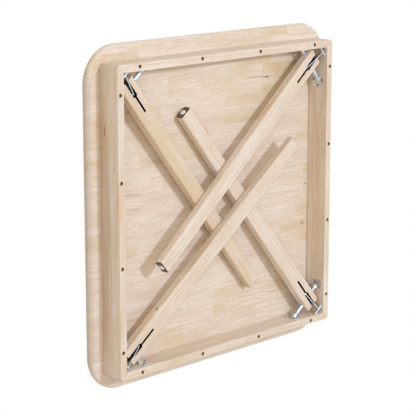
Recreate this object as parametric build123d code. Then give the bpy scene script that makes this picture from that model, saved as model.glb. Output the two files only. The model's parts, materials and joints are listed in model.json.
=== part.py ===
from build123d import *
import os
from math import asin, atan2, cos, degrees, hypot, radians, sin, sqrt

# A square folding card table, lying on its playing surface with its four legs folded into its underside.
# Origin: the centre of the playing surface. +Z runs towards the underside. Millimetres and degrees.
# Corners are numbered 1 to 4 anticlockwise as seen from above, from the one at +X and -Y.

# Top board
top_width = 813.0
top_thickness = 18.0
top_corner_radius = 90.0
top_edge_radius = 8.0

# Frame of four mitred rails under the board
top_overhang = 39.5
rail_thickness = 19.0
rail_depth = 61.0
frame_corner_radius = 10.0
rail_edge_radius = 1.5

# Screws that hold the rails to the board, each deep in a counterbore
rail_screw_count = 4
rail_screw_inset = 8.2
rail_screw_end_distance = 68.0
rail_screw_bite = 12.0
rail_screw_head_radius = 3.6
rail_screw_head_height = 3.0
rail_screw_shank_radius = 2.2
counterbore_radius = 4.6
counterbore_depth = 30.0

# Leg pivot, placed from the inner faces and the free edge of the corner's two rails
near_offset = 35.0
far_offset = 39.5
pivot_below_edge = 28.5
leg_yaw = 6.2
shaft_radius = 3.5
spacer_radius = 5.6
spacer_length = 26.0

# Leg, tapered from its head to its foot, which stops short of the opposite rail when folded
foot_room = 152.38
leg_overhang = 20.5
head_width = 47.0
head_thickness = 25.0
foot_width = 36.0
foot_thickness = 22.0
leg_edge_radius = 5.0
low_foot_clearance = 4.5
open_angle = 90.0

# Foot pad and glide
pad_thickness = 1.2
pad_inset = 0.4
glide_radius = 7.5
glide_height = 4.2
glide_nail_radius = 1.3
glide_nail_length = 16.0

# Slots in the leg's head, and the steel channel in the wide one
wide_slot_width = 12.0
wide_slot_end = 25.0
narrow_slot_width = 5.0
narrow_slot_end = 74.0
channel_wall = 1.5
channel_recess = 1.0
channel_proud = 3.5

# Brace: a strip that turns on the cross pin and slides in the leg's narrow slot
cross_pin_back = 40.0
cross_pin_rise = 19.0
cross_pin_radius = 2.25
cross_pin_bite = 8.0
brace_thickness = 2.0
brace_height = 9.5
brace_end_gap = 0.5
rivet_rise = 5.0
rivet_shank_radius = 1.5
rivet_head_radius = 3.0
rivet_head_height = 1.1

# Bearing plates for the shaft, screwed to the rails
plate_width = 24.0
plate_height = 41.0
plate_thickness = 2.0
plate_corner_radius = 3.0
plate_corner_side = 5.0
collar_radius = 5.2
collar_length = 8.0
plate_screw_rise = 14.5
plate_screw_back = 14.5
plate_screw_head_radius = 3.3
plate_screw_head_height = 2.0
plate_screw_shank_radius = 1.7
plate_screw_length = 13.0

# Clearances, and the length by which a cut runs past its face
fit_gap = 0.05
side_gap = 0.3
leg_gap = 0.35
hole_end_gap = 0.5
overrun = 2.0

# Sizes that follow
frame_half = top_width / 2 - top_overhang
inner_half = frame_half - rail_thickness
free_edge_z = top_thickness + rail_depth
pivot_x = inner_half - near_offset
pivot_y = far_offset - inner_half
pivot_above_board = rail_depth - pivot_below_edge
pivot_z = top_thickness + pivot_above_board
shaft_angle = 45 - leg_yaw
leg_turn = radians(shaft_angle + 90)
leg_reach = (inner_half - pivot_y) / sin(leg_turn) - foot_room
leg_length = leg_reach + leg_overhang

# A corner's own frame: X along the shaft to the near rail, Y along the folded leg to its foot, Z up
corner_frame = Pos(pivot_x, pivot_y, pivot_z) * Rot(0, 0, shaft_angle)


def to_corner(index):
    """The turn that carries the first corner to the corner of this index."""
    return Rot(0, 0, 90 * index)


def leg_section(distance):
    """The leg's width and thickness at a distance from the pivot towards the foot."""
    share = (distance + leg_overhang) / leg_length
    width = head_width + (foot_width - head_width) * share
    thickness = head_thickness + (foot_thickness - head_thickness) * share
    return width, thickness


def along_shaft(radius, start, end, distance=0, rise=0):
    """A round bar parallel to the shaft, in the corner's own frame."""
    bar = Rot(0, 90, 0) * Cylinder(radius, end - start)
    return Pos((start + end) / 2, distance, rise) * bar


def near_wall(distance):
    """How far along the shaft's direction a line at this distance from the pivot meets the near rail."""
    turn = radians(shaft_angle)
    return (near_offset + distance * sin(turn)) / cos(turn)


def far_wall(distance):
    """How far along the shaft's direction a line at this distance from the pivot meets the far rail."""
    turn = radians(shaft_angle)
    return -(far_offset + distance * cos(turn)) / sin(turn)


# Folded angles. The low pair's feet lie just above the board, and the high pair lies over the low pair.
low_drop = pivot_above_board - foot_thickness / 2 - low_foot_clearance
low_tilt = -degrees(asin(low_drop / leg_reach))

centre_distance = -(pivot_x * cos(leg_turn) + pivot_y * sin(leg_turn))
line_offset = abs(pivot_x * sin(leg_turn) - pivot_y * cos(leg_turn))


def tilt_over(low_distance, high_distance):
    """The tilt at which a high leg clears a low leg where they cross."""
    low_width, low_thickness = leg_section(low_distance)
    high_width, high_thickness = leg_section(high_distance)
    low_edge = low_distance - high_width / 2 + leg_edge_radius
    high_edge = high_distance - low_width / 2 + leg_edge_radius
    lift = (low_thickness + high_thickness) / 2 + leg_gap + low_edge * sin(radians(low_tilt))
    return degrees(asin(lift / high_edge))


crossings = [centre_distance - line_offset, centre_distance + line_offset]
high_tilt = max(tilt_over(crossings[0], crossings[1]), tilt_over(crossings[1], crossings[0]))
leg_tilts = [low_tilt, high_tilt, low_tilt, high_tilt]

# Brace length, from the open leg, where the strip's end stops just short of the slot's end
rivet_open = narrow_slot_end - brace_height / 2 - brace_end_gap
brace_length = hypot(cross_pin_back - rivet_rise, rivet_open - cross_pin_rise)


def brace_angle(leg_angle):
    """The brace's angle above the board when the leg stands at this angle."""
    turn = radians(leg_angle)
    pin_along = -cross_pin_back * cos(turn) + cross_pin_rise * sin(turn)
    pin_above = cross_pin_back * sin(turn) + cross_pin_rise * cos(turn)
    drop = rivet_rise - pin_above
    return leg_angle + degrees(atan2(drop, sqrt(brace_length**2 - drop**2)))


brace_ratios = [(brace_angle(open_angle) - brace_angle(tilt)) / (open_angle - tilt) for tilt in leg_tilts]

# The free space inside the rails, which trims what ends on their inner faces
inner_space = Pos(0, 0, top_thickness + rail_depth / 2) * Box(2 * inner_half, 2 * inner_half, rail_depth)

near_entry = (inner_half, pivot_y + near_wall(0) * sin(radians(shaft_angle)), pivot_z)
far_entry = (pivot_x + far_wall(0) * cos(radians(shaft_angle)), -inner_half, pivot_z)
near_plane = Plane(origin=near_entry, x_dir=(0, 1, 0), z_dir=(-1, 0, 0))
far_plane = Plane(origin=far_entry, x_dir=(-1, 0, 0), z_dir=(0, 1, 0))
plate_screw_places = [(0, plate_screw_rise), (0, -plate_screw_rise), (plate_screw_back, 0)]


def rail_screw_places():
    """Centres of the screws along the front rail."""
    first = rail_screw_end_distance - frame_half
    step = -2 * first / (rail_screw_count - 1)
    line = rail_screw_inset - frame_half
    return [(first + step * number, line) for number in range(rail_screw_count)]


def rail_screw(place):
    """A pan-head wood screw whose head sits on the counterbore's floor."""
    floor_z = free_edge_z - counterbore_depth
    length = floor_z - top_thickness + rail_screw_bite
    shank = Pos(place[0], place[1], floor_z - length / 2) * Cylinder(rail_screw_shank_radius, length)
    head = Cylinder(rail_screw_head_radius, rail_screw_head_height)
    head = chamfer(head.edges().group_by(Axis.Z)[-1], rail_screw_head_height / 3)
    return shank + Pos(place[0], place[1], floor_z + rail_screw_head_height / 2) * head


def rail_screw_hole(place):
    """The counterbore and pilot hole for one rail screw."""
    bore_height = counterbore_depth + overrun
    bore_z = free_edge_z - counterbore_depth + bore_height / 2
    pilot_height = free_edge_z - top_thickness + rail_screw_bite + hole_end_gap
    pilot_z = free_edge_z - pilot_height / 2
    bore = Pos(place[0], place[1], bore_z) * Cylinder(counterbore_radius, bore_height)
    return bore + Pos(place[0], place[1], pilot_z) * Cylinder(rail_screw_shank_radius + fit_gap, pilot_height)


def plate_screw(plane, place):
    """A pan-head screw through a bearing plate into the rail."""
    head = Cylinder(plate_screw_head_radius, plate_screw_head_height)
    head = fillet(head.edges().group_by(Axis.Z)[-1], plate_screw_head_height * 3 / 4)
    head = Pos(place[0], place[1], plate_thickness + plate_screw_head_height / 2) * head
    shank_z = plate_thickness - plate_screw_length / 2
    shank = Pos(place[0], place[1], shank_z) * Cylinder(plate_screw_shank_radius, plate_screw_length)
    return plane * (head + shank)


def plate_screw_hole(plane, place):
    """The hole for one plate screw, through the plate and into the rail."""
    length = plate_screw_length + hole_end_gap
    hole = Cylinder(plate_screw_shank_radius + fit_gap, length)
    return plane * (Pos(place[0], place[1], plate_thickness - length / 2) * hole)


def plate_screw_holes():
    """All the screw holes of the first corner's two plates."""
    return [plate_screw_hole(plane, place) for plane in (near_plane, far_plane) for place in plate_screw_places]


def make_top():
    """The board, with rounded corners and rounded edges, and the rail screws' pilot holes."""
    outline = RectangleRounded(top_width, top_width, top_corner_radius)
    board = extrude(outline, top_thickness)
    ends = board.edges().group_by(Axis.Z)
    board = fillet(ends[0] + ends[-1], top_edge_radius)
    holes = [rail_screw_hole(place) for place in rail_screw_places()]
    return board - [to_corner(side) * hole for side in range(4) for hole in holes]


def make_frame_ring():
    """The frame as one ring, before its mitres are cut."""
    outer = RectangleRounded(2 * frame_half, 2 * frame_half, frame_corner_radius)
    inner = Rectangle(2 * inner_half, 2 * inner_half)
    ring = Pos(0, 0, top_thickness) * extrude(outer - inner, rail_depth)
    return fillet(ring.edges().group_by(Axis.Z)[-1], rail_edge_radius)


def make_rail(ring, side):
    """One rail, cut from the ring by the two mitre planes, with its screw and pin holes."""
    mitre = Polyline((0, 0), (-top_width, -top_width), (top_width, -top_width), close=True)
    wedge = extrude(make_face(mitre), free_edge_z + overrun)
    rail = ring & (to_corner(side) * wedge)
    cutters = [to_corner(side) * rail_screw_hole(place) for place in rail_screw_places()]
    cutters += [to_corner(corner) * hole for corner in (side, side + 3) for hole in plate_screw_holes()]
    cutters += [to_corner(corner) * cross_pin(fit_gap, hole_end_gap) for corner in (side, side + 3)]
    return rail - cutters


def make_shaft():
    """The leg's shaft, from one rail's inner face to the other's."""
    bar = along_shaft(shaft_radius, far_wall(0) - near_offset, near_wall(0) + near_offset)
    return (corner_frame * bar) & inner_space


def make_spacer():
    """The sleeve on the shaft, on the leg's far side."""
    start = -head_width / 2 - side_gap
    end = start - spacer_length
    sleeve = along_shaft(spacer_radius, end, start)
    return corner_frame * (sleeve - along_shaft(shaft_radius + fit_gap, end - overrun, start + overrun))


def make_plate(plane, collar_start, collar_end):
    """A bearing plate on a rail's inner face, with a collar along the shaft."""
    outline = RectangleRounded(plate_width, plate_height, plate_corner_radius)
    centre = plate_width / 2 - plate_corner_side
    plate = plane * extrude(Pos(centre, 0) * outline, plate_thickness)
    collar = (corner_frame * along_shaft(collar_radius, collar_start, collar_end)) & inner_space
    bore = along_shaft(shaft_radius + fit_gap, far_wall(0) - near_offset, near_wall(0) + near_offset)
    return plate + collar - corner_frame * bore - plate_screw_holes()


def cross_pin(extra_radius=0, extra_length=0):
    """The pin across the corner, or the hole for it with extra radius and length."""
    start = far_wall(-cross_pin_back) - cross_pin_bite - extra_length
    end = near_wall(-cross_pin_back) + cross_pin_bite + extra_length
    pin = along_shaft(cross_pin_radius + extra_radius, start, end, -cross_pin_back, cross_pin_rise)
    return corner_frame * pin


def leg_blank():
    """The tapered leg with rounded long edges, along Y from its head to its foot."""
    ends = []
    for distance in (-leg_overhang, leg_reach):
        width, thickness = leg_section(distance)
        plane = Plane(origin=(0, distance, 0), x_dir=(1, 0, 0), z_dir=(0, 1, 0))
        ends.append(plane * RectangleRounded(width, thickness, leg_edge_radius))
    return loft(ends, ruled=True)


def make_leg():
    """The leg with its two slots, shaft bore and glide nail's hole, untilted, in the corner's own frame."""
    start = -leg_overhang - overrun
    wide = Box(wide_slot_width, wide_slot_end - start, 2 * head_thickness)
    wide = Pos(0, (wide_slot_end + start) / 2, 0) * wide
    round_end = narrow_slot_width / 2
    narrow_length = narrow_slot_end - round_end
    narrow = Pos(0, narrow_length / 2, 0) * Box(narrow_slot_width, narrow_length, 2 * head_thickness)
    narrow += Pos(0, narrow_length, 0) * Cylinder(round_end, 2 * head_thickness)
    bore = along_shaft(shaft_radius + fit_gap, -head_width, head_width)
    nail_depth = glide_nail_length - pad_thickness + hole_end_gap
    nail_hole = Cylinder(glide_nail_radius + fit_gap, 2 * nail_depth)
    return leg_blank() - wide - narrow - bore - Pos(0, leg_reach, 0) * Rot(90, 0, 0) * nail_hole


def make_channel():
    """The steel channel in the wide slot, open upwards, with its web on the board's side."""
    length = wide_slot_end + leg_overhang + channel_proud
    height = head_thickness - 2 * channel_recess
    centre = (wide_slot_end - leg_overhang - channel_proud) / 2
    outer = Pos(0, centre, 0) * Box(wide_slot_width, length, height)
    inner_width = wide_slot_width - 2 * channel_wall
    inner = Pos(0, centre, channel_wall) * Box(inner_width, length + 2 * overrun, height)
    return outer - inner - along_shaft(shaft_radius + fit_gap, -wide_slot_width, wide_slot_width)


def make_foot_pad():
    """The pad on the foot's end, with a hole for the glide's nail."""
    width = foot_width - 2 * pad_inset
    thickness = foot_thickness - 2 * pad_inset
    plane = Plane(origin=(0, leg_reach, 0), x_dir=(1, 0, 0), z_dir=(0, 1, 0))
    outline = RectangleRounded(width, thickness, leg_edge_radius) - Circle(glide_nail_radius + fit_gap)
    return extrude(plane * outline, pad_thickness)


def make_glide():
    """The domed glide with its nail, seated on the pad."""
    face = leg_reach + pad_thickness
    sphere_radius = (glide_radius**2 + glide_height**2) / (2 * glide_height)
    ball = Pos(0, face + glide_height - sphere_radius, 0) * Sphere(sphere_radius)
    room = 2 * sphere_radius
    dome = ball & (Pos(0, face + room / 2, 0) * Box(room, room, room))
    nail = Rot(90, 0, 0) * Cylinder(glide_nail_radius, glide_nail_length)
    return dome + Pos(0, face - glide_nail_length / 2, 0) * nail


def make_brace():
    """The flat strip from the cross pin to the rivet, along Y from the cross pin."""
    round_end = brace_height / 2
    strip = Pos(0, brace_length / 2, 0) * Box(brace_thickness, brace_length, brace_height)
    for distance in (0, brace_length):
        strip += along_shaft(round_end, -brace_thickness / 2, brace_thickness / 2, distance)
    pin_hole = along_shaft(cross_pin_radius + fit_gap, -brace_thickness, brace_thickness)
    rivet_hole = along_shaft(rivet_shank_radius, -brace_thickness, brace_thickness, brace_length)
    return strip - pin_hole - rivet_hole


def make_rivet():
    """The rivet in the brace's inner end, with a head on each side of the strip."""
    half = brace_thickness / 2
    rivet = along_shaft(rivet_shank_radius, -half, half, brace_length)
    for side in (-1, 1):
        ends = sorted((side * half, side * (half + rivet_head_height)))
        rivet += along_shaft(rivet_head_radius, ends[0], ends[1], brace_length)
    return rivet


def save(name, solid):
    """Write one piece."""
    export_step(solid, f"parts/{name}.step")


os.makedirs("parts", exist_ok=True)
save("table_top", make_top())

frame_ring = make_frame_ring()
for side, side_name in enumerate(("front", "right", "back", "left")):
    save(f"rail_{side_name}", make_rail(frame_ring, side))
frame_screws = [to_corner(side) * rail_screw(place) for side in range(4) for place in rail_screw_places()]
save("rail_screws", Compound(children=frame_screws))

collar_past_wall = near_offset
near_collar = (near_wall(0) - collar_length, near_wall(0) + collar_past_wall)
far_collar = (far_wall(0) - collar_past_wall, far_wall(0) + collar_length)
corner_screws = [plate_screw(plane, place) for plane in (near_plane, far_plane) for place in plate_screw_places]
fixed_pieces = {
    "pivot_shaft": make_shaft(),
    "spacer": make_spacer(),
    "near_plate": make_plate(near_plane, *near_collar),
    "far_plate": make_plate(far_plane, *far_collar),
    "plate_screws": Compound(children=corner_screws),
    "cross_pin": cross_pin(),
}
leg_pieces = {
    "leg": make_leg(),
    "leg_channel": make_channel(),
    "foot_pad": make_foot_pad(),
    "glide": make_glide(),
}
brace_pieces = {
    "brace": make_brace(),
    "brace_rivet": make_rivet(),
}

for corner, tilt in enumerate(leg_tilts):
    turn = to_corner(corner)
    leg_place = turn * corner_frame * Rot(tilt, 0, 0)
    brace_place = turn * corner_frame * Pos(0, -cross_pin_back, cross_pin_rise) * Rot(brace_angle(tilt), 0, 0)
    for name, solid in fixed_pieces.items():
        save(f"{name}_{corner + 1}", turn * solid)
    for name, solid in leg_pieces.items():
        save(f"{name}_{corner + 1}", leg_place * solid)
    for name, solid in brace_pieces.items():
        save(f"{name}_{corner + 1}", brace_place * solid)
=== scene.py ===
import json
from math import atan2, cos, pi, radians, sin, tau

import bmesh
import bpy
from mathutils import Matrix, Vector


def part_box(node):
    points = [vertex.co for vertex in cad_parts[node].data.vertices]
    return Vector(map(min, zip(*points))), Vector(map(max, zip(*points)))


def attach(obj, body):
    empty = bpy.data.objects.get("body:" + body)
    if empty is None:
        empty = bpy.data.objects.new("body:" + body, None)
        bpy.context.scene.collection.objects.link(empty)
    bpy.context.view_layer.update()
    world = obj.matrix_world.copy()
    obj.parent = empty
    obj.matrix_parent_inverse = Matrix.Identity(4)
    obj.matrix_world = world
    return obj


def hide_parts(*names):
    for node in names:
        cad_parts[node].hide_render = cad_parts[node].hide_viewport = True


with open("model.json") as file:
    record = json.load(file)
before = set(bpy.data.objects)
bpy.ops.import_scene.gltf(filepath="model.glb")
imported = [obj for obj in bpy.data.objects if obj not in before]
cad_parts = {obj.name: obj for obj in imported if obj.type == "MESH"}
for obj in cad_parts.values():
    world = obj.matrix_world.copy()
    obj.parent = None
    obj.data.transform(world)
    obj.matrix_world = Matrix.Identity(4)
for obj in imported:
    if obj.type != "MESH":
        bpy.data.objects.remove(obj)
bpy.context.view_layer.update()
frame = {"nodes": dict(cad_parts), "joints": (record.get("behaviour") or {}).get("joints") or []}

# Top board
# An edge-glued panel of finger-jointed rubberwood staves, 18 mm thick, planed, sanded and finished with a
# satin clear lacquer. It lies on its playing surface, so its underside faces up here.
# The eye sees pale cream staves that differ a little in tone, thin wavy growth lines and fine dark pores.
MM = 0.001
BOARD_WIDTH = 813.0
BOARD_TOP = 18.0
STAVE_WIDTH = 68.3
STAVE_EDGE = 43.4

# Each kind of block: its share of the darker tone, and how far that tone leans from yellow (0) to pink (1)
WOOD_KINDS = {"pale": (0.0, 0.8), "rosy": (0.35, 1.0), "tan": (0.4, 0.1), "olive": (0.8, 0.0)}
# For each stave, from the board's back to its front: where its blocks start along it, and their kinds
BOARD_BLOCKS = {
    5: ((-407, "pale"), (-140, "rosy"), (105, "tan"), (200, "olive"), (258, "pale")),
    4: ((-407, "tan"), (-250, "pale"), (60, "tan"), (203, "pale")),
    3: ((-407, "pale"), (-155, "tan"), (170, "olive")),
    2: ((-407, "tan"), (-180, "pale"), (-50, "rosy"), (35, "tan"), (230, "pale")),
    1: ((-407, "tan"), (-355, "pale"), (-250, "tan"), (-20, "pale"), (150, "rosy"), (300, "tan")),
    0: ((-407, "pale"), (-177, "pale"), (80, "rosy"), (290, "pale")),
    -1: ((-407, "pale"), (-60, "rosy"), (170, "pale"), (330, "tan")),
    -2: ((-407, "tan"), (-260, "pale"), (110, "pale"), (300, "tan")),
    -3: ((-407, "pale"), (-100, "rosy"), (240, "tan")),
    -4: ((-407, "pale"), (-10, "pale"), (190, "pale")),
    -5: ((-407, "pale"), (-170, "pale"), (0, "tan"), (280, "pale")),
    -6: ((-407, "pale"), (-195, "tan"), (-110, "rosy"), (150, "pale")),
    -7: ((-407, "pale"), (-60, "rosy"), (160, "pale")),
}
MOST_BLOCKS = 8
PALE_STREAK = "F3EADD"
EARLY_WOOD = "ECE2D8"
LATE_WOOD = "DDC9B2"
GROWTH_LINE = "BB9872"
YELLOWER_BLOCK = "D7C096"
PINKER_BLOCK = "DCC5B4"
# Brown for knots and streaks, and also for painted shade along the rails' base and the left rail's low band
KNOT_AND_SHADE_BROWN = "8A5A38"
# Painted shade for the walls of the legs' sawn slots
SLOT_SHADE = "0C0704"
# Painted shade for the walls of the rails' counterbores
BORE_SHADE = "B5946C"
# Partly the darker end grain and partly painted shade at the board's ends
END_GRAIN_AND_SHADE = "8C7F72"

# Sizes of the patterns along, across and through the grain, in millimetres
SWAY_SIZE = (130, 75, 75)
MOTTLE_SIZE = (130, 28, 28)
STREAK_SIZE = (75, 4, 4)
PORE_SIZE = (16, 1.1, 1.1)
# A block's growth lines sway by 15 to 65 mm at most and lie 8 to 18 mm apart, round a pith that is up to
# 260 mm to one side of the board's middle and 14 to 74 mm below its playing face. The rails and legs all have
# one set of these values.
LEAST_SWAY, SWAY_SPREAD = 15.0, 50.0
LEAST_RING, RING_SPREAD = 8.0, 10.0
PITH_ASIDE = 260.0
LEAST_PITH_DEPTH, PITH_DEPTH_SPREAD = 14.0, 60.0
SOLID_PITH = (0.75, 0.4)
SOLID_SWAY = 14.0
SOLID_RING = 11.0
NOISE_SPAN = 97.0
# How far from the board's ends the darkening starts, and where it is full. It is partly end grain and partly
# painted shade on the board's edges.
END_DARKENING_REACH = (14, 5)
GLUE_LINE = 0.7
KNOT_WANDER = 14.0
PORE_DEPTH = 0.3
SATIN = 0.4
# Each knot or mineral streak: its middle, its half length, its half width and how dark it is
BOARD_KNOTS = [
    ((188.7, 283.9, BOARD_TOP), 6.0, 2.6, 0.8), ((160.0, 285.0, BOARD_TOP), 55.0, 1.6, 0.55),
    ((-121.4, 256.5, BOARD_TOP), 3.0, 2.0, 0.7), ((328.8, -110.6, BOARD_TOP), 7.0, 6.0, 0.45),
    ((338.6, -8.6, BOARD_TOP), 5.0, 3.0, 0.6), ((-281.0, 51.0, BOARD_TOP), 42.0, 1.6, 0.4),
    ((-262.0, 14.0, BOARD_TOP), 26.0, 5.0, 0.16),
]


def linear(hex_colour):
    """An sRGB hex colour as linear red, green, blue and alpha."""
    shares = [int(hex_colour[i : i + 2], 16) / 255 for i in (0, 2, 4)]
    return [s / 12.92 if s <= 0.04045 else ((s + 0.055) / 1.055) ** 2.4 for s in shares] + [1.0]


def first_output(node):
    """The first output that a node has with its present settings."""
    return next(socket for socket in node.outputs if socket.enabled)


def add_node(tree, kind, inputs=None, stops=None, **settings):
    """Adds a node with its settings. An input takes a value, a socket, or another node's first output."""
    added = tree.nodes.new(kind)
    for name, value in settings.items():
        setattr(added, name, value)
    for key, value in (inputs or {}).items():
        if isinstance(key, int):
            socket = added.inputs[key]
        else:
            socket = next(s for s in added.inputs if s.enabled and s.name == key)
        if isinstance(value, bpy.types.Node):
            value = first_output(value)
        if isinstance(value, bpy.types.NodeSocket):
            tree.links.new(value, socket)
        else:
            socket.default_value = value
    if stops:
        ramp = added.color_ramp.elements
        while len(ramp) < len(stops):
            ramp.new(0.5)
        for element, (place, colour) in zip(ramp, stops):
            element.position = place
            element.color = linear(colour) if isinstance(colour, str) else (*colour, 1.0)
    return added


def new_material(name):
    """A new material, its nodes and its shader."""
    material = bpy.data.materials.new(name)
    material.use_nodes = True
    tree = material.node_tree
    return material, tree, tree.nodes["Principled BSDF"]


def link_finish(tree, shader, colour, roughness, bump):
    """Links the nodes of a finish to its shader."""
    tree.links.new(first_output(colour), shader.inputs["Base Color"])
    tree.links.new(first_output(roughness), shader.inputs["Roughness"])
    tree.links.new(first_output(bump), shader.inputs["Normal"])


def lacquered_rubberwood(name, place, turn, jointed, knots_and_shade, kind, seed, in_rail=False, slots=()):
    """Rubberwood whose grain runs along local X, with the local axes put at place and turned about Z."""
    material, tree, shader = new_material(name)
    coordinates = add_node(tree, "ShaderNodeTexCoord")
    local = add_node(
        tree, "ShaderNodeMapping", vector_type="TEXTURE",
        inputs={0: coordinates.outputs["Object"], 1: place, 2: (0, 0, turn), 3: (MM, MM, MM)},
    )
    axes = add_node(tree, "ShaderNodeSeparateXYZ", {0: local})
    along, across, through = axes.outputs

    # Each block of a stave gets its own number, and from it its tone and its place in the tree
    if jointed:
        stave_place = add_node(tree, "ShaderNodeMath", {0: across, 1: STAVE_EDGE}, operation="SUBTRACT")
        stave_place = add_node(tree, "ShaderNodeMath", {0: stave_place, 1: STAVE_WIDTH}, operation="DIVIDE")
        stave = add_node(tree, "ShaderNodeMath", {0: stave_place}, operation="FLOOR")
        stave_share = add_node(tree, "ShaderNodeMath", {0: stave_place}, operation="FRACT")
        along_share = add_node(
            tree, "ShaderNodeMath", {0: along, 1: 1 / BOARD_WIDTH, 2: 0.5}, operation="MULTIPLY_ADD"
        )
        blocks = (0, 0, 0)
        for number, starts in BOARD_BLOCKS.items():
            laid = add_node(
                tree, "ShaderNodeValToRGB", {0: along_share},
                stops=[(from_x / BOARD_WIDTH + 0.5, (*WOOD_KINDS[block_kind], order / MOST_BLOCKS))
                       for order, (from_x, block_kind) in enumerate(starts)],
            )
            laid.color_ramp.interpolation = "CONSTANT"
            here = add_node(tree, "ShaderNodeMath", {0: stave, 1: number, 2: 0.5}, operation="COMPARE")
            blocks = add_node(
                tree, "ShaderNodeVectorMath", {0: laid.outputs["Color"], 1: here, 2: blocks},
                operation="MULTIPLY_ADD",
            )
        block_tone, block_hue, block_order = add_node(tree, "ShaderNodeSeparateXYZ", {0: blocks}).outputs
        block_id = add_node(tree, "ShaderNodeCombineXYZ", {0: stave, 1: block_order, 2: seed})
        chance = add_node(tree, "ShaderNodeTexWhiteNoise", {"Vector": block_id}, noise_dimensions="3D")
        chances = add_node(tree, "ShaderNodeSeparateXYZ", {0: chance.outputs["Color"]})
        pith_across, pith_below, figure = chances.outputs
        own_number = add_node(
            tree, "ShaderNodeMath", {0: chance.outputs["Value"], 1: NOISE_SPAN, 2: seed},
            operation="MULTIPLY_ADD",
        )
        swing = add_node(
            tree, "ShaderNodeMath", {0: chance.outputs["Value"], 1: SWAY_SPREAD, 2: LEAST_SWAY},
            operation="MULTIPLY_ADD",
        )
        spacing = add_node(
            tree, "ShaderNodeMath", {0: figure, 1: RING_SPREAD, 2: LEAST_RING}, operation="MULTIPLY_ADD"
        )
        figured = add_node(tree, "ShaderNodeMapRange", {"Value": pith_below, "To Min": 1.1, "To Max": 0.2})
    else:
        pith_across, pith_below = SOLID_PITH
        own_number, swing, spacing, figured = seed, SOLID_SWAY, SOLID_RING, 1.0
        block_tone, block_hue = kind

    # Growth lines are rings round a pith that lies below the board, pushed about by a slow noise
    slow = add_node(
        tree, "ShaderNodeVectorMath", {0: local, 1: [1 / size for size in SWAY_SIZE]}, operation="MULTIPLY"
    )
    sway = add_node(
        tree, "ShaderNodeTexNoise",
        {"Vector": slow, "W": own_number, "Scale": 1.0, "Detail": 2.0, "Roughness": 0.45},
        noise_dimensions="4D",
    )
    pushed = add_node(tree, "ShaderNodeMath", {0: sway, 1: swing, 2: across}, operation="MULTIPLY_ADD")
    side = add_node(
        tree, "ShaderNodeMath", {0: pith_across, 1: PITH_ASIDE, 2: pushed}, operation="MULTIPLY_ADD"
    )
    depth = add_node(
        tree, "ShaderNodeMath", {0: pith_below, 1: PITH_DEPTH_SPREAD, 2: through}, operation="MULTIPLY_ADD"
    )
    depth = add_node(tree, "ShaderNodeMath", {0: depth, 1: LEAST_PITH_DEPTH}, operation="ADD")
    ring_vector = add_node(tree, "ShaderNodeCombineXYZ", {0: side, 1: depth, 2: 0.0})
    radius = add_node(tree, "ShaderNodeVectorMath", {0: ring_vector}, operation="LENGTH")
    year = add_node(tree, "ShaderNodeMath", {0: radius, 1: spacing}, operation="DIVIDE")
    year_share = add_node(tree, "ShaderNodeMath", {0: year}, operation="FRACT")
    grown = add_node(
        tree, "ShaderNodeValToRGB", {0: year_share},
        stops=[(0.0, PALE_STREAK), (0.2, EARLY_WOOD), (0.6, EARLY_WOOD), (0.84, LATE_WOOD),
               (0.94, GROWTH_LINE), (1.0, PALE_STREAK)],
    )

    # Some years show more than others, and all fade in and out along the board
    year_number = add_node(tree, "ShaderNodeMath", {0: year}, operation="FLOOR")
    year_id = add_node(tree, "ShaderNodeMath", {0: year_number, 1: own_number}, operation="ADD")
    year_chance = add_node(tree, "ShaderNodeTexWhiteNoise", {"W": year_id}, noise_dimensions="1D")
    fading = add_node(
        tree, "ShaderNodeTexNoise", {"Vector": slow, "W": own_number, "Scale": 1.3, "Detail": 2.0},
        noise_dimensions="4D",
    )
    faded = add_node(
        tree, "ShaderNodeMapRange",
        {"Value": fading, "From Min": 0.36, "From Max": 0.6, "To Min": 0.3, "To Max": 1.0},
    )
    shown = add_node(
        tree, "ShaderNodeMapRange", {"Value": year_chance.outputs["Value"], "To Min": 0.25, "To Max": 1.0}
    )
    strength = add_node(tree, "ShaderNodeMath", {0: faded, 1: shown}, operation="MULTIPLY")
    strength = add_node(tree, "ShaderNodeMath", {0: strength, 1: figured}, operation="MULTIPLY")
    wood = add_node(
        tree, "ShaderNodeMix", {"Factor": strength, "A": linear(EARLY_WOOD), "B": grown}, data_type="RGBA"
    )

    # Blocks differ in tone, and each is clouded with a yellower tan
    mottled_place = add_node(
        tree, "ShaderNodeVectorMath", {0: local, 1: [1 / size for size in MOTTLE_SIZE]}, operation="MULTIPLY"
    )
    mottle = add_node(
        tree, "ShaderNodeTexNoise",
        {"Vector": mottled_place, "W": own_number, "Scale": 1.0, "Detail": 4.0, "Roughness": 0.55},
        noise_dimensions="4D",
    )
    mottle_share = add_node(
        tree, "ShaderNodeMapRange",
        {"Value": mottle, "From Min": 0.35, "From Max": 0.7, "To Min": -0.25, "To Max": 0.7},
    )
    toned = add_node(
        tree, "ShaderNodeMath", {0: block_tone, 1: 0.65, 2: mottle_share}, operation="MULTIPLY_ADD",
        use_clamp=True,
    )
    darker = add_node(
        tree, "ShaderNodeMix", {"Factor": block_hue, "A": linear(YELLOWER_BLOCK), "B": linear(PINKER_BLOCK)},
        data_type="RGBA",
    )
    wood = add_node(tree, "ShaderNodeMix", {"Factor": toned, "A": wood, "B": darker}, data_type="RGBA")

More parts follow.
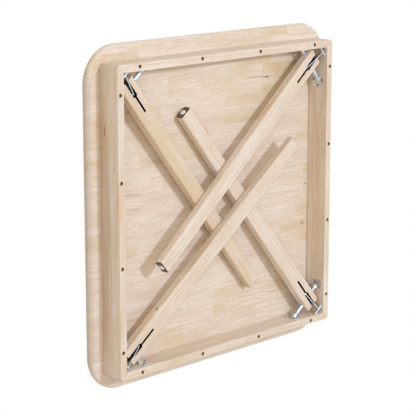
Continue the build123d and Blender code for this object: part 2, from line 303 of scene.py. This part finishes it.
    # Fibre streaks are a few millimetres wide and several centimetres long, lighter and darker by turns
    streak_place = add_node(
        tree, "ShaderNodeVectorMath", {0: local, 1: [1 / size for size in STREAK_SIZE]}, operation="MULTIPLY"
    )
    streaks = add_node(
        tree, "ShaderNodeTexNoise", {"Vector": streak_place, "W": own_number, "Scale": 1.0, "Detail": 3.0},
        noise_dimensions="4D",
    )
    streak_share = add_node(
        tree, "ShaderNodeMapRange",
        {"Value": streaks, "From Min": 0.35, "From Max": 0.65, "To Min": 0.0, "To Max": 0.6},
    )
    wood = add_node(
        tree, "ShaderNodeMix", {"Factor": streak_share, "A": wood, "B": linear(LATE_WOOD)}, data_type="RGBA"
    )

    # Pores are 0.2 mm wide and a few millimetres long. They are drawn about 1 mm wide, because finer ones
    # don't show.
    pore_place = add_node(
        tree, "ShaderNodeVectorMath", {0: local, 1: [1 / size for size in PORE_SIZE]}, operation="MULTIPLY"
    )
    pores = add_node(
        tree, "ShaderNodeTexNoise", {"Vector": pore_place, "W": own_number, "Scale": 1.0, "Detail": 2.0},
        noise_dimensions="4D",
    )
    pore_share = add_node(
        tree, "ShaderNodeMapRange",
        {"Value": pores, "From Min": 0.52, "From Max": 0.72, "To Min": 0.0, "To Max": 0.44},
    )
    wood = add_node(
        tree, "ShaderNodeMix", {"Factor": pore_share, "A": wood, "B": linear(GROWTH_LINE)}, data_type="RGBA"
    )

    # The ends of the staves are darker, partly as end grain that soaks up more lacquer and partly as painted
    # shade on the board's edges. The glue lines between staves show a little.
    if jointed:
        darkening_from, darkening_full = (BOARD_WIDTH / 2 - reach for reach in END_DARKENING_REACH)
        from_centre = add_node(tree, "ShaderNodeMath", {0: along}, operation="ABSOLUTE")
        end_shade_share = add_node(
            tree, "ShaderNodeMapRange",
            {"Value": from_centre, "From Min": darkening_from, "From Max": darkening_full,
             "To Min": 0.0, "To Max": 0.3},
        )
        wood = add_node(
            tree, "ShaderNodeMix", {"Factor": end_shade_share, "A": wood, "B": linear(END_GRAIN_AND_SHADE)}, data_type="RGBA"
        )
        middle = add_node(tree, "ShaderNodeMath", {0: stave_share, 1: 0.5}, operation="SUBTRACT")
        middle = add_node(tree, "ShaderNodeMath", {0: middle}, operation="ABSOLUTE")
        line = add_node(
            tree, "ShaderNodeMapRange",
            {"Value": middle, "From Min": 0.5 - GLUE_LINE / STAVE_WIDTH, "From Max": 0.5,
             "To Min": 0.0, "To Max": 0.35},
        )
        wood = add_node(
            tree, "ShaderNodeMix", {"Factor": line, "A": wood, "B": linear(GROWTH_LINE)}, data_type="RGBA"
        )

    # Where two rails meet in a mitre, the glue line shows. Along each rail's base, just above the board, a
    # dark line is partly the glue seam and partly painted contact shadow.
    sheen = SATIN
    if in_rail:
        sides = add_node(
            tree, "ShaderNodeVectorMath", {0: coordinates.outputs["Object"]}, operation="ABSOLUTE"
        )
        side_x, side_y, _ = add_node(tree, "ShaderNodeSeparateXYZ", {0: sides}).outputs
        apart = add_node(tree, "ShaderNodeMath", {0: side_x, 1: side_y}, operation="SUBTRACT")
        apart = add_node(tree, "ShaderNodeMath", {0: apart}, operation="ABSOLUTE")
        line = add_node(
            tree, "ShaderNodeMapRange",
            {"Value": apart, "From Min": MITRE_LINE[0] * MM, "From Max": MITRE_LINE[1] * MM,
             "To Min": 0.25, "To Max": 0.0},
        )
        wood = add_node(
            tree, "ShaderNodeMix", {"Factor": line, "A": wood, "B": linear(GROWTH_LINE)}, data_type="RGBA"
        )
        # Partly glue seam and partly painted contact shadow along the rail's base
        seam_and_shade = add_node(
            tree, "ShaderNodeMapRange",
            {"Value": through, "From Min": BOARD_TOP + SEAM_AND_SHADE_LINE[0], "From Max": BOARD_TOP + SEAM_AND_SHADE_LINE[1],
             "To Min": 0.6, "To Max": 0.0},
        )
        wood = add_node(
            tree, "ShaderNodeMix", {"Factor": seam_and_shade, "A": wood, "B": linear(KNOT_AND_SHADE_BROWN)}, data_type="RGBA"
        )

        # Each counterbore's wall is drawn brown as painted shade, and dull
        from_first = add_node(tree, "ShaderNodeMath", {0: along, 1: SCREW_ENDS}, operation="ADD")
        beside_along = add_node(
            tree, "ShaderNodeMath", {0: from_first, 1: SCREW_ENDS / 3, 2: -SCREW_ENDS / 3}, operation="WRAP"
        )
        beside_across = add_node(tree, "ShaderNodeMath", {0: across, 1: SCREW_LINE}, operation="ADD")
        beside = add_node(tree, "ShaderNodeCombineXYZ", {0: beside_along, 1: beside_across, 2: 0.0})
        distance = add_node(tree, "ShaderNodeVectorMath", {0: beside}, operation="LENGTH")
        bored = add_node(
            tree, "ShaderNodeMapRange",
            {"Value": distance, "From Min": BORE_SHADE_EDGE[0], "From Max": BORE_SHADE_EDGE[1],
             "To Min": 1.0, "To Max": 0.0},
        )
        below = add_node(tree, "ShaderNodeMath", {0: through, 1: RAIL_TOP - UNSHADED_LIP}, operation="LESS_THAN")
        bore_shade_mask = add_node(tree, "ShaderNodeMath", {0: bored, 1: below}, operation="MULTIPLY")
        wood = add_node(
            tree, "ShaderNodeMix", {"Factor": bore_shade_mask, "A": wood, "B": linear(BORE_SHADE)}, data_type="RGBA"
        )
        sheen = add_node(tree, "ShaderNodeMapRange", {"Value": bore_shade_mask, "To Min": SATIN, "To Max": 0.05})

    # Small tight knots and mineral streaks, each a soft brown spot drawn out along the grain. One long wide
    # band on the left rail is painted shade instead.
    wander = Vector((0, KNOT_WANDER, 0)) if jointed else Vector((0, 0, KNOT_WANDER))
    for mark_middle, half_length, half_width, darkness in knots_and_shade:
        offset = add_node(tree, "ShaderNodeVectorMath", {0: local, 1: mark_middle}, operation="SUBTRACT")
        waver = add_node(
            tree, "ShaderNodeVectorMath", {0: sway.outputs["Color"], 1: wander, 2: offset},
            operation="MULTIPLY_ADD",
        )
        waver = add_node(tree, "ShaderNodeVectorMath", {0: waver, 1: wander / 2}, operation="SUBTRACT")
        scaled = add_node(
            tree, "ShaderNodeVectorMath", {0: waver, 1: (1 / half_length, 1 / half_width, 1 / half_width)},
            operation="MULTIPLY",
        )
        distance = add_node(tree, "ShaderNodeVectorMath", {0: scaled}, operation="LENGTH")
        spot = add_node(
            tree, "ShaderNodeMapRange",
            {"Value": distance, "From Min": 0.4, "From Max": 1.4, "To Min": darkness, "To Max": 0.0},
            interpolation_type="SMOOTHSTEP",
        )
        wood = add_node(
            tree, "ShaderNodeMix", {"Factor": spot, "A": wood, "B": linear(KNOT_AND_SHADE_BROWN)}, data_type="RGBA"
        )

    # Painted shade: the walls of sawn slots, each of one half width and end, are drawn near-black
    for half_width, slot_end in slots:
        from_middle = add_node(tree, "ShaderNodeMath", {0: across}, operation="ABSOLUTE")
        beside = add_node(tree, "ShaderNodeMath", {0: from_middle, 1: half_width}, operation="LESS_THAN")
        before = add_node(tree, "ShaderNodeMath", {0: along, 1: slot_end}, operation="LESS_THAN")
        slot_shade_mask = add_node(tree, "ShaderNodeMath", {0: beside, 1: before}, operation="MULTIPLY")
        wood = add_node(
            tree, "ShaderNodeMix", {"Factor": slot_shade_mask, "A": wood, "B": linear(SLOT_SHADE)}, data_type="RGBA"
        )
        bare = add_node(tree, "ShaderNodeMath", {0: 1.0, 1: slot_shade_mask}, operation="SUBTRACT")
        sheen = add_node(tree, "ShaderNodeMath", {0: sheen, 1: bare}, operation="MULTIPLY")

    # Lacquer evens the sheen, but the pores stay duller and slightly sunk
    roughness = add_node(
        tree, "ShaderNodeMapRange",
        {"Value": pores, "From Min": 0.4, "From Max": 0.7, "To Min": 0.4, "To Max": 0.58},
    )
    bump = add_node(
        tree, "ShaderNodeBump", {"Height": pore_share, "Strength": 0.35, "Distance": PORE_DEPTH * MM},
        invert=True,
    )
    link_finish(tree, shader, wood, roughness, bump)
    shader.inputs["IOR"].default_value = 1.5
    shader.inputs["Specular IOR Level"].default_value = SATIN
    if sheen != SATIN:
        tree.links.new(first_output(sheen), shader.inputs["Specular IOR Level"])
    return material


def finish_node(node, material):
    """Gives a CAD node its material."""
    piece = frame["nodes"][node]
    piece.data.materials.clear()
    piece.data.materials.append(material)


finish_node(
    "table_top",
    lacquered_rubberwood(
        "lacquered_rubberwood_panel", place=(0, 0, 0), turn=0, jointed=True, knots_and_shade=BOARD_KNOTS, kind=None,
        seed=3.0,
    ),
)

# Frame rails
# Four solid rubberwood rails, 19 x 61 mm, moulded to a 1.5 mm edge, mitred at the corners and glued. Their
# grain runs along them, the same satin lacquer covers them, and each has four counterbores for its screws.
RAIL_TOP = 79.0
SCREW_LINE = 358.8
SCREW_ENDS = 299.0
# Where each line's colour is full and where it has faded out: beside a mitre, and above the board. The line
# above the board is partly the glue seam and partly painted contact shadow.
MITRE_LINE = (0.3, 1.0)
SEAM_AND_SHADE_LINE = (0.4, 1.6)
# Where the painted shade on a counterbore's wall ends, from its middle, and the unshaded wood above it
BORE_SHADE_EDGE = (4.65, 4.75)
UNSHADED_LIP = 0.5
RAIL_KINDS = {"front": (0.15, 0.6), "right": (0.25, 0.5), "back": (0.2, 0.5), "left": (0.3, 0.35)}
RAIL_KNOTS_AND_SHADE = {
    "front": [], "right": [], "back": [],
    "left": [
        ((-214.0, -367.0, 35.0), 13.0, 2.0, 0.8), ((-130.0, -367.0, 64.0), 8.0, 1.6, 0.5),
        # The long wide band is painted shade low on the left rail's outer face, next to the board
        ((0.0, -367.0, 29.0), 420.0, 15.0, 0.3), ((-60.0, -367.0, 43.0), 150.0, 1.6, 0.25),
        ((140.0, -367.0, 50.0), 120.0, 1.5, 0.22),
    ],
}
for number, (side, kind) in enumerate(RAIL_KINDS.items()):
    finish_node(
        f"rail_{side}",
        lacquered_rubberwood(
            f"lacquered_rubberwood_rail_{side}", place=(0, 0, 0), turn=number * pi / 2, jointed=False,
            knots_and_shade=RAIL_KNOTS_AND_SHADE[side], kind=kind, seed=11.0 + 7 * number, in_rail=True,
        ),
    )

# Rail screws and plate screws
# Pan-head wood screws with a cross recess and a rolled thread. The 16 that hold the frame are drawn nearly
# black and dull, as painted shade deep in their counterbores. The six at each corner hold the plates, and
# their blue passivated zinc is a cooler and darker grey than the plates' own.
HEAD_SEGMENTS = 32
HEAD_RINGS = 14
DOME_DROP = 0.45
RECESS_ARM = 0.13
RECESS_REACH = 0.55
RECESS_DEPTH = 0.6
RECESS_TAPER = 0.6
THREAD_PITCH = 1.8
RINGS_PER_TURN = 4
THREAD_ROOT = 0.74
THREAD_RISE = 0.24
THREAD_FLANK = 1.6
BLUNT_POINT = 0.04
# Head radius and height, shank radius and length
RAIL_SCREW = (3.6, 3.0, 2.2, 43.0)
PLATE_SCREW = (3.3, 2.0, 1.7, 13.0)
COUNTERBORE_FLOOR = 49.0
PLATING_RELIEF = 0.05


def cold_formed_steel(name, colours, metallic, roughness, spread, grain):
    """Steel with a plated or oxide finish that is a little cloudy. The grain is its size in millimetres."""
    material, tree, shader = new_material(name)
    coordinates = add_node(tree, "ShaderNodeTexCoord")
    cloud = add_node(
        tree, "ShaderNodeTexNoise",
        {"Vector": coordinates.outputs["Object"], "Scale": 1 / (grain * MM), "Detail": 3.0},
    )
    shade = add_node(
        tree, "ShaderNodeValToRGB", {0: cloud}, stops=[(0.3, colours[0]), (0.7, colours[1])]
    )
    dull = add_node(
        tree, "ShaderNodeMapRange",
        {"Value": cloud, "From Min": 0.3, "From Max": 0.7, "To Min": roughness, "To Max": roughness + spread},
    )
    bump = add_node(
        tree, "ShaderNodeBump", {"Height": cloud, "Strength": 0.15, "Distance": PLATING_RELIEF * MM}
    )
    link_finish(tree, shader, shade, dull, bump)
    shader.inputs["Metallic"].default_value = metallic
    return material


def lathe_and_thread(mesh, place, head_radius, head_height, shank_radius, length):
    """Adds one screw to a mesh: domed head with a cross recess, shank with a helical thread, pointed tip."""
    angles = [tau * k / HEAD_SEGMENTS for k in range(HEAD_SEGMENTS)]
    arm = head_radius * RECESS_ARM
    reach = head_radius * RECESS_REACH
    rings = []
    for step in range(HEAD_RINGS + 1):
        share = step / HEAD_RINGS
        radius = head_radius * share
        ring = []
        for angle in angles:
            x, y = radius * cos(angle), radius * sin(angle)
            height = head_height * (1 - DOME_DROP * share**4)
            if min(abs(x), abs(y)) < arm and radius < reach:
                height -= head_height * RECESS_DEPTH * (1 - RECESS_TAPER * radius / reach)
            ring.append(mesh.verts.new(place @ Vector((x, y, height))))
        rings.append(ring)
    rim = [Vector((head_radius * cos(angle), head_radius * sin(angle), 0)) for angle in angles]
    rings.append([mesh.verts.new(place @ spot) for spot in rim])

    steps = int(length / (THREAD_PITCH * MM / RINGS_PER_TURN))
    for step in range(steps + 1):
        depth = length * step / steps
        tip = max(min(1, (length - depth) / (shank_radius * 2)), BLUNT_POINT)
        ring = []
        for k, angle in enumerate(angles):
            phase = (depth / (THREAD_PITCH * MM) + k / HEAD_SEGMENTS) % 1
            ridge = max(0, 1 - THREAD_FLANK * (1 - abs(phase - 0.5) * 2))
            radius = shank_radius * (THREAD_ROOT + THREAD_RISE * ridge) * tip
            ring.append(mesh.verts.new(place @ Vector((radius * cos(angle), radius * sin(angle), -depth))))
        rings.append(ring)

    for inner, outer in zip(rings, rings[1:]):
        for k in range(HEAD_SEGMENTS):
            after = (k + 1) % HEAD_SEGMENTS
            mesh.faces.new((inner[k], outer[k], outer[after], inner[after]))
    mesh.faces.new(rings[-1])


def piece_from(name, mesh, material):
    """The piece that a finished mesh makes, with its faces turned outwards."""
    bmesh.ops.recalc_face_normals(mesh, faces=mesh.faces)
    data = bpy.data.meshes.new(name)
    mesh.to_mesh(data)
    mesh.free()
    data.materials.append(material)
    piece = bpy.data.objects.new(name, data)
    bpy.context.scene.collection.objects.link(piece)
    return piece


def screws_piece(name, places, sizes, material, node, body):
    """Makes one piece with a screw at each place, which stands for the CAD node's plain screws."""
    mesh = bmesh.new()
    for place in places:
        lathe_and_thread(mesh, place, *(size * MM for size in sizes))
    bmesh.ops.remove_doubles(mesh, verts=mesh.verts, dist=0.001 * MM)
    piece = piece_from(name, mesh, material)
    for face in piece.data.polygons:
        face.use_smooth = True
    piece.modifiers.new("crisp_edges", "EDGE_SPLIT").split_angle = radians(40)
    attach(piece, body)
    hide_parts(node)


# Painted shade: the frame's screws are drawn nearly black for their deep counterbores
shade_dark_screw_steel = cold_formed_steel(
    "shade_dark_screw_steel", ("14100E", "1F1916"), metallic=0.3, roughness=0.5, spread=0.15, grain=3.0
)
blue_zinc_steel = cold_formed_steel(
    "blue_passivated_zinc_steel", ("7E8A96", "98A4AE"), metallic=1.0, roughness=0.3, spread=0.12, grain=3.0
)

# Each screw was driven until it was tight, so each recess points its own way
rail_places = []
for number in range(4):
    for k in range(4):
        spot = Vector((-SCREW_ENDS + 2 * SCREW_ENDS * k / 3, -SCREW_LINE, COUNTERBORE_FLOOR)) * MM
        turned = Matrix.Rotation(number * pi / 2, 4, "Z")
        own_turn = Matrix.Rotation(0.7 * k + 1.3 * number, 4, "Z")
        rail_places.append(turned @ Matrix.Translation(spot) @ own_turn)
screws_piece(
    "black_wood_screws", rail_places, RAIL_SCREW, shade_dark_screw_steel, "rail_screws", "table_frame",
)

# Corner hardware
# At each corner a 7 mm steel shaft runs from rail to rail in two stamped plates with pressed collars, with a
# sleeve on it beside the leg, and a thinner pin crosses nearer to the corner. The shaft, sleeve and pin are
# bright zinc plated, a cool silver, and the plates' stamped zinc is whiter and a little cloudy.
INNER_HALF = 348.0
SHAFT_ANGLE = radians(38.8)
NEAR_OFFSET = 35.0
FAR_OFFSET = 39.5
PIVOT_HEIGHT = 50.5
PLATE_THICKNESS = 2.0
SCREW_SPOTS = [(0, 14.5), (0, -14.5), (14.5, 0)]
ROLLED_EDGE = 0.3


def in_frame(origin, x_dir, z_dir):
    """A place with its own X and Z directions."""
    z = Vector(z_dir).normalized()
    x = Vector(x_dir).normalized()
    y = z.cross(x)
    return Matrix.Translation(origin) @ Matrix((x, y, z)).transposed().to_4x4()


stamped_zinc_steel = cold_formed_steel(
    "stamped_zinc_plated_steel", ("D6D8D4", "EBECE8"), metallic=0.92, roughness=0.26, spread=0.14, grain=5.0
)
bright_zinc_steel = cold_formed_steel(
    "bright_zinc_plated_steel", ("B9C8D6", "D6E2EC"), metallic=0.75, roughness=0.34, spread=0.16, grain=6.0
)

# Where the shaft meets the inner faces of the corner's two rails
near_reach = NEAR_OFFSET / cos(SHAFT_ANGLE)
far_reach = FAR_OFFSET / sin(SHAFT_ANGLE)
near_entry = Vector((INNER_HALF, FAR_OFFSET - INNER_HALF + near_reach * sin(SHAFT_ANGLE), PIVOT_HEIGHT)) * MM
far_entry = Vector((INNER_HALF - NEAR_OFFSET - far_reach * cos(SHAFT_ANGLE), -INNER_HALF, PIVOT_HEIGHT)) * MM
near_face = in_frame(near_entry, (0, 1, 0), (-1, 0, 0))
far_face = in_frame(far_entry, (-1, 0, 0), (0, 1, 0))
for corner in range(4):
    turned = Matrix.Rotation(corner * pi / 2, 4, "Z")
    places = []
    for face in (near_face, far_face):
        for k, (x, y) in enumerate(SCREW_SPOTS):
            spot = Matrix.Translation(Vector((x, y, PLATE_THICKNESS)) * MM)
            places.append(turned @ face @ spot @ Matrix.Rotation(0.9 * k + corner, 4, "Z"))
    n = corner + 1
    screws_piece(
        f"zinc_plate_screws_{n}", places, PLATE_SCREW, blue_zinc_steel, f"plate_screws_{n}",
        "table_frame",
    )
    for node in ("pivot_shaft", "spacer", "near_plate", "far_plate", "cross_pin"):
        finish_node(f"{node}_{n}", stamped_zinc_steel if "plate" in node else bright_zinc_steel)
        bevel = frame["nodes"][f"{node}_{n}"].modifiers.new("rolled_edge", "BEVEL")
        bevel.width = ROLLED_EDGE * MM
        bevel.segments = 2
        bevel.limit_method = "ANGLE"
        bevel.angle_limit = radians(50)

# Legs
# Four solid rubberwood legs with rounded long edges, tapered to the foot, sawn with a wide and a narrow slot
# in the head. The grain runs from head to foot, and the lacquer is the same as on the rails.
LEG_KINDS = ((0.1, 0.7), (0.1, 0.7), (0.66, 0.3), (0.12, 0.6))
LEG_KNOTS = ([], [], [], [((115.8, 22.3, 7.6), 5.0, 3.0, 0.75), ((66.1, 22.3, -4.8), 3.0, 2.4, 0.7)])
# Half width and end of the narrow and the wide slot, with the rim of painted shade that shows round each
LEG_SLOTS = [(2.85, 74.4), (6.3, 25.3)]
joints = {joint["name"]: joint for joint in frame["joints"]}
leg_places = []
for corner in range(4):
    n = corner + 1
    joint = joints[f"leg_{n}_fold"]
    leg_turn = atan2(joint["axis"][1], joint["axis"][0]) + pi / 2
    leg_places.append((Vector(joint["pos_m"]), leg_turn))
    finish_node(
        f"leg_{n}",
        lacquered_rubberwood(
            f"lacquered_rubberwood_leg_{n}", place=joint["pos_m"], turn=leg_turn, jointed=False,
            knots_and_shade=LEG_KNOTS[corner], kind=LEG_KINDS[corner], seed=41.0 + 5 * corner, slots=LEG_SLOTS,
        ),
    )

# Leg channels, braces and rivets
# A folded sheet-steel channel lines the head's wide slot. Its near-black, dull colour is painted shade for
# the deep slot. A flat punched strip turns on the cross pin, and its riveted inner end slides in the leg's
# narrow slot. The strip and its rivet are zinc plated and polished, a bright silver.
polished_strip = cold_formed_steel(
    "polished_zinc_strip_steel", ("D5DBE0", "ECEFF2"), metallic=1.0, roughness=0.26, spread=0.1, grain=4.0
)
# Painted shade: the channel is drawn near-black for the deep wide slot
slot_shade_steel = cold_formed_steel(
    "slot_shade_channel_steel", ("121314", "1F2123"), metallic=0.4, roughness=0.5, spread=0.15, grain=5.0
)
slot_shade_steel.node_tree.nodes["Principled BSDF"].inputs["Specular IOR Level"].default_value = 0.15
for n in range(1, 5):
    finish_node(f"leg_channel_{n}", slot_shade_steel)
    finish_node(f"brace_{n}", polished_strip)
    finish_node(f"brace_rivet_{n}", polished_strip)

# Foot pads and glides
# A dark brown polyethylene pad, moulded with a soft rim and a low crown, covers each foot's end. A domed
# nail-on glide holds it, and is what touches the floor. Its satin nickel is a soft and nearly white silver.
PAD_WIDTH = 35.2
PAD_HEIGHT = 21.2
PAD_CORNER = 5.0
LEAST_CORNER = 0.8
PAD_THICKNESS = 1.2
PAD_RIM = 0.5
# How far in from the pad's outline, and how high, each ring of its surface lies
PAD_PROFILE = [
    (0, 0), (0, PAD_THICKNESS - PAD_RIM), (0.25 * PAD_RIM, PAD_THICKNESS - 0.4 * PAD_RIM),
    (PAD_RIM, PAD_THICKNESS - 0.1 * PAD_RIM), (3.2, PAD_THICKNESS), (6.0, PAD_THICKNESS),
]
LEG_REACH = 690.0
# A mould's own grain is too fine to show, so it is drawn coarser than it is
MOULD_GRAIN = 0.8
MOULD_RELIEF = 0.08


def moulded_polyethylene(name):
    """Matt dark brown plastic with the fine sparkle of a spark-eroded mould."""
    material, tree, shader = new_material(name)
    coordinates = add_node(tree, "ShaderNodeTexCoord")
    grain = add_node(
        tree, "ShaderNodeTexNoise",
        {"Vector": coordinates.outputs["Object"], "Scale": 1 / (MOULD_GRAIN * MM), "Detail": 2.0},
    )
    shade = add_node(tree, "ShaderNodeValToRGB", {0: grain}, stops=[(0.3, "4A3D22"), (0.7, "5E4E2C")])
    dull = add_node(
        tree, "ShaderNodeMapRange",
        {"Value": grain, "From Min": 0.3, "From Max": 0.7, "To Min": 0.5, "To Max": 0.68},
    )
    bump = add_node(
        tree, "ShaderNodeBump", {"Height": grain, "Strength": 0.3, "Distance": MOULD_RELIEF * MM}
    )
    link_finish(tree, shader, shade, dull, bump)
    shader.inputs["IOR"].default_value = 1.51
    return material


def rounded_outline(width, height, corner, count=8):
    """The points of a rounded rectangle."""
    points = []
    for k, (sx, sy) in enumerate(((1, 1), (-1, 1), (-1, -1), (1, -1))):
        for step in range(count + 1):
            angle = (k + step / count) * pi / 2
            x = sx * (width / 2 - corner) + corner * cos(angle)
            y = sy * (height / 2 - corner) + corner * sin(angle)
            points.append((x, y))
    return points


brown_polyethylene = moulded_polyethylene("moulded_brown_polyethylene")
nickel_plate = cold_formed_steel(
    "satin_nickel_plate", ("DCE0E4", "F0F2F4"), metallic=0.55, roughness=0.28, spread=0.1, grain=8.0
)
for n, (place, turn) in enumerate(leg_places, start=1):
    low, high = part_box(f"foot_pad_{n}")
    out = ((low + high) / 2 - place).normalized()
    sideways = Vector((cos(turn - pi / 2), sin(turn - pi / 2), 0))
    pad_frame = in_frame(place + out * LEG_REACH * MM, sideways, out)
    mesh = bmesh.new()
    rings = []
    for inset, rise in PAD_PROFILE:
        outline = rounded_outline(
            PAD_WIDTH - 2 * inset, PAD_HEIGHT - 2 * inset, max(PAD_CORNER - 0.7 * inset, LEAST_CORNER)
        )
        rings.append([mesh.verts.new(pad_frame @ (Vector((x, y, rise)) * MM)) for x, y in outline])
    for inner, outer in zip(rings, rings[1:]):
        for k in range(len(inner)):
            after = (k + 1) % len(inner)
            mesh.faces.new((inner[k], inner[after], outer[after], outer[k]))
    mesh.faces.new(rings[-1])
    mesh.faces.new(list(reversed(rings[0])))
    pad = piece_from(f"moulded_foot_pad_{n}", mesh, brown_polyethylene)
    for face in pad.data.polygons:
        face.use_smooth = len(face.vertices) == 4
    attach(pad, f"leg_{n}_body")
    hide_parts(f"foot_pad_{n}")
    finish_node(f"glide_{n}", nickel_plate)

# Floor, lights and camera
# A pale studio sweep, measured in metres: a white floor that keeps a soft shadow, a cool key lamp almost
# overhead, a broad and weaker warm fill on the camera's side, and an even surround. The camera stands where
# the photograph's did, with a long lens.
FLOOR_HALF = 6.0
FLOOR_DROP = 0.0005
FLOOR_GREY = "D2D0CC"
FLOOR_STRENGTH = 1.04
FLOOR_WHITENESS = 0.9
WHITE = "FFFFFF"
WARM_SURROUND = "FFF4E4"
WARM_FILL = "FFFAF4"
COOL_KEY = "E0EDFF"


def seen_by_eye(tree):
    """One for what the camera sees, straight or in metal and glass, and zero for the light on the table."""
    path = add_node(tree, "ShaderNodeLightPath")
    seen = add_node(
        tree, "ShaderNodeMath", {0: path.outputs["Is Camera Ray"], 1: path.outputs["Is Glossy Ray"]},
        operation="MAXIMUM",
    )
    return add_node(
        tree, "ShaderNodeMath", {0: seen, 1: path.outputs["Is Transmission Ray"]}, operation="MAXIMUM"
    )


def studio_floor():
    """White to the camera and to mirrors, with a share of plain diffuse that shows the shadow."""
    material, tree, shader = new_material("matt_white_sweep")
    shader.inputs["Base Color"].default_value = linear(FLOOR_GREY)
    shader.inputs["Roughness"].default_value = 0.9
    white = add_node(tree, "ShaderNodeEmission", {"Color": linear(WHITE), "Strength": FLOOR_STRENGTH})
    seen = seen_by_eye(tree)
    share = add_node(tree, "ShaderNodeMath", {0: seen, 1: FLOOR_WHITENESS}, operation="MULTIPLY")
    blend = add_node(tree, "ShaderNodeMixShader", {0: share, 1: shader, 2: white})
    tree.links.new(first_output(blend), tree.nodes["Material Output"].inputs["Surface"])
    return material


floor_corners = [
    (x * FLOOR_HALF, y * FLOOR_HALF, -FLOOR_DROP) for x, y in ((-1, -1), (1, -1), (1, 1), (-1, 1))
]
floor_data = bpy.data.meshes.new("studio_floor")
floor_data.from_pydata(floor_corners, [], [(0, 1, 2, 3)])
floor_data.materials.append(studio_floor())
floor = bpy.data.objects.new("studio_floor", floor_data)
bpy.context.scene.collection.objects.link(floor)

LAMP_DISTANCE = 5.0
# Each lamp's direction from the table, its width, its power in watts and its colour
LAMPS = {
    "soft_key": ((0.1, 0.38, 1.0), 0.58, 108.0, COOL_KEY),
    "camera_fill": ((-1.0, 0.3, 0.9), 2.6, 37.0, WARM_FILL),
}
for lamp_name, (towards, width, watts, colour) in LAMPS.items():
    lamp_data = bpy.data.lights.new(lamp_name, "AREA")
    lamp_data.shape = "DISK"
    lamp_data.size = width
    lamp_data.energy = watts
    lamp_data.color = linear(colour)[:3]
    lamp = bpy.data.objects.new(lamp_name, lamp_data)
    direction = Vector(towards).normalized()
    lamp.location = direction * LAMP_DISTANCE
    lamp.rotation_mode = "QUATERNION"
    lamp.rotation_quaternion = (-direction).to_track_quat("-Z", "Y")
    bpy.context.scene.collection.objects.link(lamp)

SURROUND_STRENGTH = 0.64
world = bpy.data.worlds.new("studio_surround")
world.use_nodes = True
tree = world.node_tree
seen = seen_by_eye(tree)
strength = add_node(tree, "ShaderNodeMapRange", {"Value": seen, "To Min": SURROUND_STRENGTH, "To Max": 1.0})
shade = add_node(
    tree, "ShaderNodeMix", {"Factor": seen, "A": linear(WARM_SURROUND), "B": linear(WHITE)}, data_type="RGBA"
)
background = tree.nodes["Background"]
tree.links.new(first_output(shade), background.inputs["Color"])
tree.links.new(first_output(strength), background.inputs["Strength"])
bpy.context.scene.world = world

CAMERA_PLACE = Vector((-2.71099, 0.81236, 2.66798))
CAMERA_AIM = Vector((-0.08216, 0.00036, 0.079))
CAMERA_LENS = 137.18
camera_data = bpy.data.cameras.new("photo_camera")
camera_data.sensor_width = 36.0
camera_data.lens = CAMERA_LENS
camera_data.clip_start = 0.1
camera_data.clip_end = 50.0
camera = bpy.data.objects.new("photo_camera", camera_data)
forward = (CAMERA_AIM - CAMERA_PLACE).normalized()
right = forward.cross(Vector((0, 1, 0))).normalized()
camera.matrix_world = Matrix.Translation(CAMERA_PLACE) @ Matrix(
    (right, right.cross(forward), -forward)
).transposed().to_4x4()
bpy.context.scene.collection.objects.link(camera)
bpy.context.scene.camera = camera
bpy.context.scene.view_settings.view_transform = "Standard"
